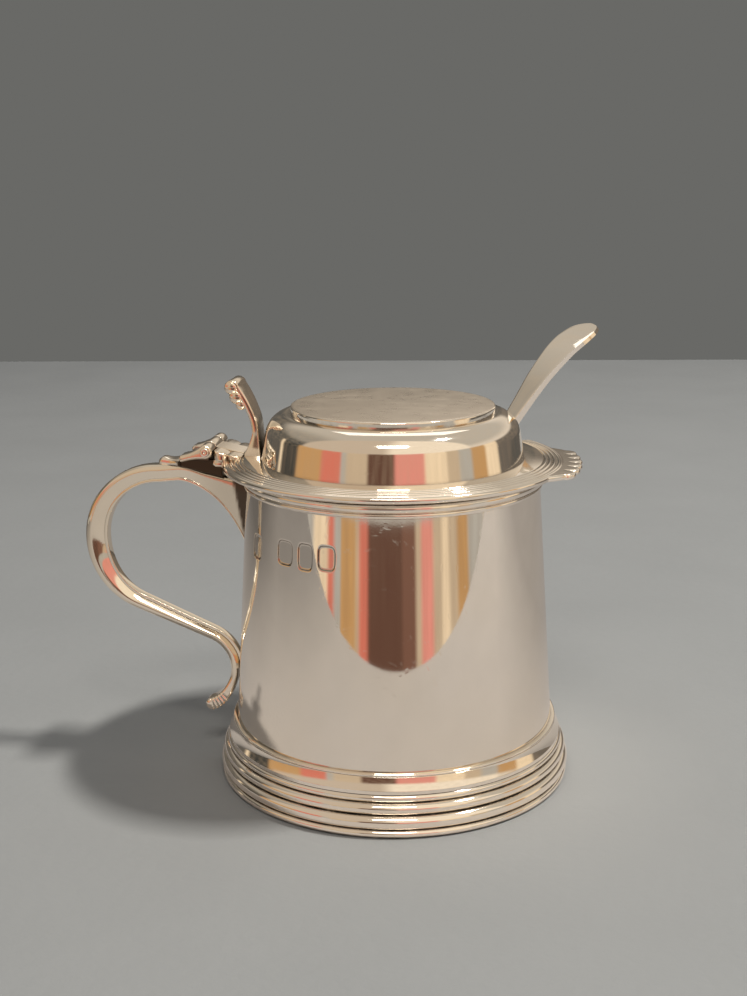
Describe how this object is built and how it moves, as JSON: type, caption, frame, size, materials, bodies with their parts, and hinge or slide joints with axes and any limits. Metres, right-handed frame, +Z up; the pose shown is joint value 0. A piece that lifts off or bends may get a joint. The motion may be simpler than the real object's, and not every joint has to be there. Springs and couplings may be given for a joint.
{
  "type": "mustard pot",
  "caption": "Small silver tankard-shaped mustard pot with reeded foot, scroll handle, hinged lid with serrated peak and thumbpiece, glass liner, and a spoon through the lid's slot.",
  "frame": {"origin": "centre of the foot's ring on the table", "axes": "+Z up along the drum's axis, -X towards the handle, +X towards the lid's peak, the spoon leans towards +X +Y"},
  "size_m": [0.0878, 0.0634, 0.0731],
  "materials": {
    "silver": "polished, lightly tarnished silver",
    "worn_silver": "silver dulled by fine scratches",
    "glass": "clear cobalt blue glass"
  },
  "bodies": {
    "pot": {"drum": "silver", "base_plate": "silver", "foot_ring": "silver", "foot_moulding": "silver", "mouth_wire": "silver", "handle_shell": "silver", "handle_strip": "silver", "handle_tail": "silver", "hinge_bearer": "silver", "hinge_pin": "silver"},
    "lid": {"lid_flange": "silver", "lid_dome": "silver", "lid_top_plate": "worn_silver", "lid_bezel": "silver", "lid_leaf": "silver", "thumbpiece": "silver"},
    "liner": {"glass_liner": "glass"},
    "spoon": {"spoon": "silver"}
  },
  "joints": [
    {"name": "lid_hinge", "type": "hinge", "parent": "pot", "child": "lid", "pos_m": [-0.0307, 0, 0.0555], "axis": [0, -1, 0], "range_deg": [0, 110]},
    {"name": "liner_turn", "type": "hinge", "parent": "pot", "child": "liner", "pos_m": [0, 0, 0], "axis": [0, 0, 1], "continuous": true},
    {"name": "spoon_lift", "type": "slide", "parent": "pot", "child": "spoon", "axis": [0.4752, 0.467, 0.7457], "range_m": [0, 0.035]}
  ]
}
